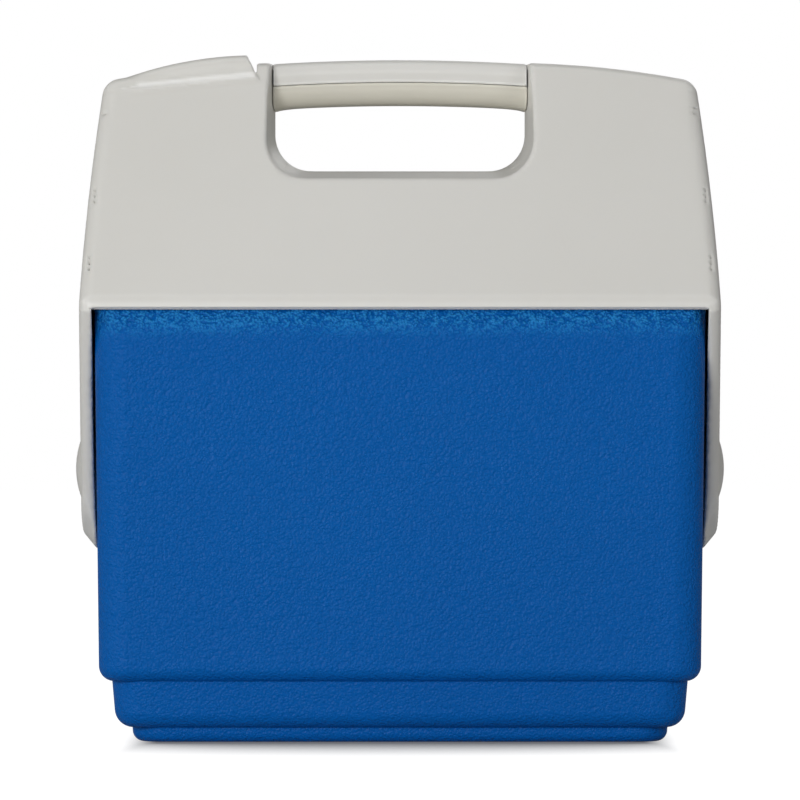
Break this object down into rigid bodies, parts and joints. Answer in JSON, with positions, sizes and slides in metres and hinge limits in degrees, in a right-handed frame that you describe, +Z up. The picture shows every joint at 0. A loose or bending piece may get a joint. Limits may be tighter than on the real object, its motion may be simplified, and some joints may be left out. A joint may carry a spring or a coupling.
{
  "type": "vaccine carrier",
  "caption": "Hand-carried insulated box for vials: stepped tub, tent-shaped swing lid on two side pivots, carry bar across an opening in the ridge, thumb release beside it.",
  "frame": {"origin": "middle of the underside, on the plane the carrier stands on", "axes": "+Z up; X along the carry handle, with the thumb release towards -X; Y from front to back"},
  "size_m": [0.3068, 0.208, 0.3198],
  "materials": {
    "tub_shell": "matte",
    "lid_shell": "satin",
    "handle_grip": "satin",
    "liner": "gloss",
    "foam": "matte",
    "dark_trim": "satin",
    "screw_steel": "satin",
    "pin_steel": "polished"
  },
  "bodies": {
    "tub": {"outer_shell": "tub_shell", "inner_liner": "liner", "body_foam": "foam", "foam_fill_plug": "dark_trim", "latch_keeper": "dark_trim", "keeper_screws": "screw_steel", "pivot_pin_left": "lid_shell", "pivot_pin_right": "lid_shell", "pivot_socket_left": "dark_trim", "pivot_socket_right": "dark_trim", "pivot_washer_left": "dark_trim", "pivot_washer_right": "dark_trim"},
    "lid": {"lid_shell": "lid_shell", "lid_liner": "liner", "liner_screws": "screw_steel", "lid_foam": "foam", "handle_grip": "handle_grip", "handle_cap": "lid_shell", "handle_screws": "screw_steel", "button_pin": "pin_steel", "lever_pin": "pin_steel", "latch_spring": "pin_steel"},
    "button": {"release_button": "lid_shell"},
    "latch": {"latch_lever": "dark_trim"}
  },
  "joints": [
    {"name": "lid_swing", "type": "hinge", "parent": "tub", "child": "lid", "pos_m": [0, 0, 0.1253], "axis": [1, 0, 0], "range_deg": [-66, 66]},
    {"name": "button_press", "type": "hinge", "parent": "lid", "child": "button", "pos_m": [-0.122, 0, 0.3035], "axis": [0, 1, 0], "range_deg": [0, 5], "stiffness_Nm_per_rad": 2, "springref_deg": -2.86},
    {"name": "latch_rock", "type": "hinge", "parent": "lid", "child": "latch", "pos_m": [-0.112, 0, 0.262], "axis": [0, 1, 0], "range_deg": [0, 12], "deforming": ["latch_spring"]}
  ],
  "couplings": [
    {"joint": "latch_rock", "follows": "button_press", "ratio": 2.4}
  ]
}
